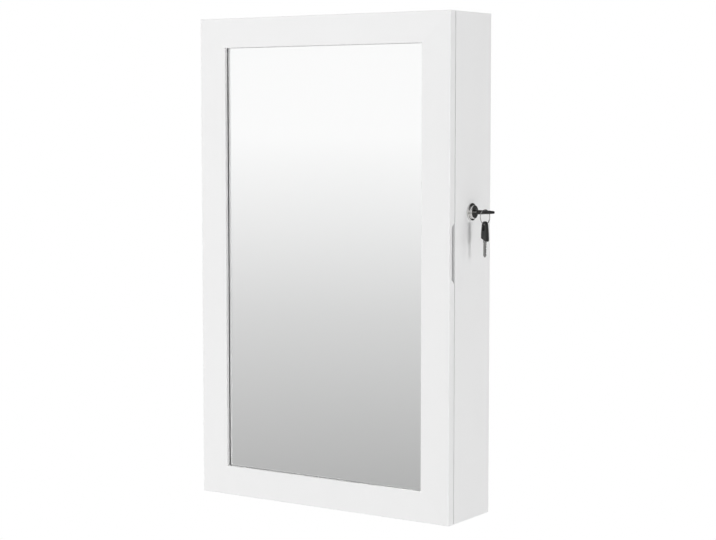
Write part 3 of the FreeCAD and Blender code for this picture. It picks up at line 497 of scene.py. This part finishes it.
def add_screw(shape, top, out, twist, radius, height, shank, length):
    """One screw with a cross recess; the middle of its head's top is at a point."""
    outline = cross_outline(radius * CROSS_REACH, radius * CROSS_HALF_WIDTH)
    depth = radius * CROSS_DEPTH
    tip = -height - length
    if height:
        foot = (shank, -height)
        head = [(radius * r, -height * h) for r, h in PAN_HEAD]
    else:
        foot = (shank, shank - radius)
        head = [(radius, -COUNTERSUNK_RIM), (radius * COUNTERSUNK_TOP, 0.0)]
    turned = Vector(out).to_track_quat("Z", "Y").to_matrix() @ Matrix.Rotation(twist, 3, "Z")

    def point(x, y, z):
        return top + turned @ Vector((x, y, z)) * MM

    def ring(radii, level):
        return [shape.verts.new(point(r * math.cos(angle), r * math.sin(angle), level))
                for (angle, _), r in zip(outline, radii)]

    rings = [ring([r] * len(outline), level) for r, level in [(shank, tip), foot, *head]]
    rings.append(ring([r for _, r in outline], 0.0))
    rings.append(ring([r * CROSS_TAPER for _, r in outline], -depth))
    join_rings(shape, rings)
    close_ring(shape, rings[0], point(0.0, 0.0, tip))
    close_ring(shape, rings[-1], point(0.0, 0.0, -depth * CROSS_POINT))


def build_screws():
    """Screws with cross recesses, in the places of the CAD's plain heads."""
    draws = random.Random(11)
    for node, body, out, radius, height, shank, length in SCREWS:
        shape = bmesh.new()
        for low, high in solid_boxes(node):
            centre = (low + high) / 2
            top = Vector([(lo if way < 0 else hi) if way else middle
                          for lo, hi, middle, way in zip(low, high, centre, out)])
            twist = draws.uniform(0.0, math.pi / 2)
            add_screw(shape, top, out, twist, radius, height, shank, length)
        bmesh.ops.recalc_face_normals(shape, faces=shape.faces)
        piece = mesh_piece(node + "_driven", shape, finishes["steel"], body)
        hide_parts(node)


# ---- studio ---------------------------------------------------------------------------------

BACKDROP_STOPS = (
    # height of the direction looked in (its Z), and how bright the studio is there
    (-0.600, 0.95),
    (-0.350, 0.47),
    (-0.205, 0.465),
    (-0.165, 0.555),
    (-0.110, 0.69),
    (-0.060, 0.85),
    (-0.010, 0.99),
)
# the axis of the direction, the span over which the studio darkens, and what is left of it
DARK_WALL = ("Y", (0.05, 0.6), 0.06)
DARK_CEILING = ("Z", (0.2, 0.6), 0.22)
AMBIENT = 0.27

FLOOR_DROP = 1.25
FLOOR_RADIUS = 2.4
FLOOR_SIDES = 96
# from here to the rim the floor's own white goes from one share to the other
FLOOR_FADE = (0.3, FLOOR_RADIUS * 0.95)
FLOOR_WHITE = (0.72, 1.0)

SIDE_AIM = (0.18, -0.05, -0.25)
LAMPS = (
    # name, place, aim, side of the square in metres, power in watts
    ("key_light", (2.61, -0.35, 0.0), SIDE_AIM, 0.55, 26.5),
    ("side_light", (2.45, 0.95, 0.0), SIDE_AIM, 0.6, 6.5),
    ("front_light", (-1.5, -4.0, 1.3), (0.0, -0.1, -0.25), 1.6, 132.0),
    ("top_light", (0.2, 0.6, 2.6), (0.0, -0.05, -0.2), 1.4, 24.0),
)


def studio_shade(n):
    """What metal and glass show: pale ahead, grey below that, dark behind and overhead."""
    split = n.add("ShaderNodeSeparateXYZ")
    n.join(n.add("ShaderNodeTexCoord").outputs["Generated"], split, 0)
    low, high = BACKDROP_STOPS[0][0], BACKDROP_STOPS[-1][0]
    height = n.mapped(split.outputs["Z"], (low, high), (0.0, 1.0))
    stops = [((level - low) / (high - low), grey(value)) for level, value in BACKDROP_STOPS]
    shade = n.ramp(height, stops)
    for axis, span, rest in (DARK_WALL, DARK_CEILING):
        shade = n.scaled(shade, n.mapped(split.outputs[axis], span, (1.0, rest), "SMOOTHSTEP"))
    return shade


def build_world():
    """White to the camera, the studio to metal and glass, and even light to the rest."""
    world = bpy.data.worlds.new("studio")
    bpy.context.scene.world = world
    world.use_nodes = True
    world.node_tree.nodes.clear()
    n = Nodes(world.node_tree)
    seen, camera = n.seen_directly()
    looked_at = n.add("ShaderNodeMix", data_type="RGBA")
    looked_at.inputs["B"].default_value = WHITE
    n.join(camera, looked_at, "Factor")
    n.join(studio_shade(n), looked_at, "A")
    backdrop = n.add("ShaderNodeBackground")
    n.join(looked_at.outputs["Result"], backdrop, "Color")
    ambient = n.add("ShaderNodeBackground")
    ambient.inputs["Color"].default_value = WHITE
    ambient.inputs["Strength"].default_value = AMBIENT
    light = n.mixed(seen, ambient.outputs[0], backdrop.outputs[0])
    n.join(light, n.add("ShaderNodeOutputWorld"), "Surface")


def build_floor():
    """A pale floor well below the cabinet; it keeps a soft shadow and fades to white at its rim."""
    mesh = bpy.data.meshes.new("studio_floor")
    shape = bmesh.new()
    bmesh.ops.create_circle(shape, cap_ends=True, segments=FLOOR_SIDES, radius=FLOOR_RADIUS)
    shape.to_mesh(mesh)
    shape.free()
    floor = bpy.data.objects.new("studio_floor", mesh)
    floor.location = (0.0, 0.0, -FLOOR_DROP)
    bpy.context.collection.objects.link(floor)
    n = Surface("studio_floor")
    n.put(Roughness=0.8, Specular_IOR_Level=0.1)
    mesh.materials.append(n.finish(n.between(n.noise(1.5, 2.0), grey(0.89), grey(0.91))))
    from_middle = n.add("ShaderNodeVectorMath", operation="LENGTH")
    n.join(n.place, from_middle, 0)
    own_white = n.mapped(from_middle.outputs["Value"], FLOOR_FADE, FLOOR_WHITE, "SMOOTHSTEP")
    share = n.add("ShaderNodeMath", operation="MULTIPLY")
    n.join(n.seen_directly()[0], share, 0)
    n.join(own_white, share, 1)
    glow = n.add("ShaderNodeEmission")
    surface = n.mixed(share.outputs[0], n.shader.outputs[0], glow.outputs[0])
    n.join(surface, n.tree.nodes["Material Output"], "Surface")


def build_lights():
    """Soft square lamps that neither the camera nor the mirror shows."""
    for name, place, aim, size, power in LAMPS:
        lamp = bpy.data.lights.new(name, "AREA")
        lamp.shape = "SQUARE"
        lamp.size = size
        lamp.energy = power
        holder = bpy.data.objects.new(name, lamp)
        holder.location = place
        holder.rotation_euler = (Vector(aim) - Vector(place)).to_track_quat("-Z", "Y").to_euler()
        holder.visible_glossy = False
        holder.visible_camera = False
        bpy.context.collection.objects.link(holder)


# ---- the photograph's camera ----------------------------------------------------------------

CAMERA_PLACE = (1.24383, -1.86200, -0.08409)  # metres
CAMERA_AZIMUTH = 33.904  # degrees
CAMERA_PITCH = -4.841
CAMERA_LENS = 89.83  # millimetres
SENSOR_WIDTH = 36.0
FAR_END = 50.0  # metres


def build_camera():
    """The camera, where the fit to the photograph puts it."""
    lens = bpy.data.cameras.new("photo_camera")
    lens.lens = CAMERA_LENS
    lens.sensor_width = SENSOR_WIDTH
    lens.clip_end = FAR_END
    camera = bpy.data.objects.new("photo_camera", lens)
    camera.location = CAMERA_PLACE
    camera.rotation_euler = (math.radians(90.0 + CAMERA_PITCH), 0.0, math.radians(CAMERA_AZIMUTH))
    bpy.context.collection.objects.link(camera)
    bpy.context.scene.camera = camera


dress_frame()
build_silvering()
build_ring_rolls()
build_screws()
build_world()
build_floor()
build_lights()
build_camera()
bpy.context.scene.view_settings.view_transform = "Standard"
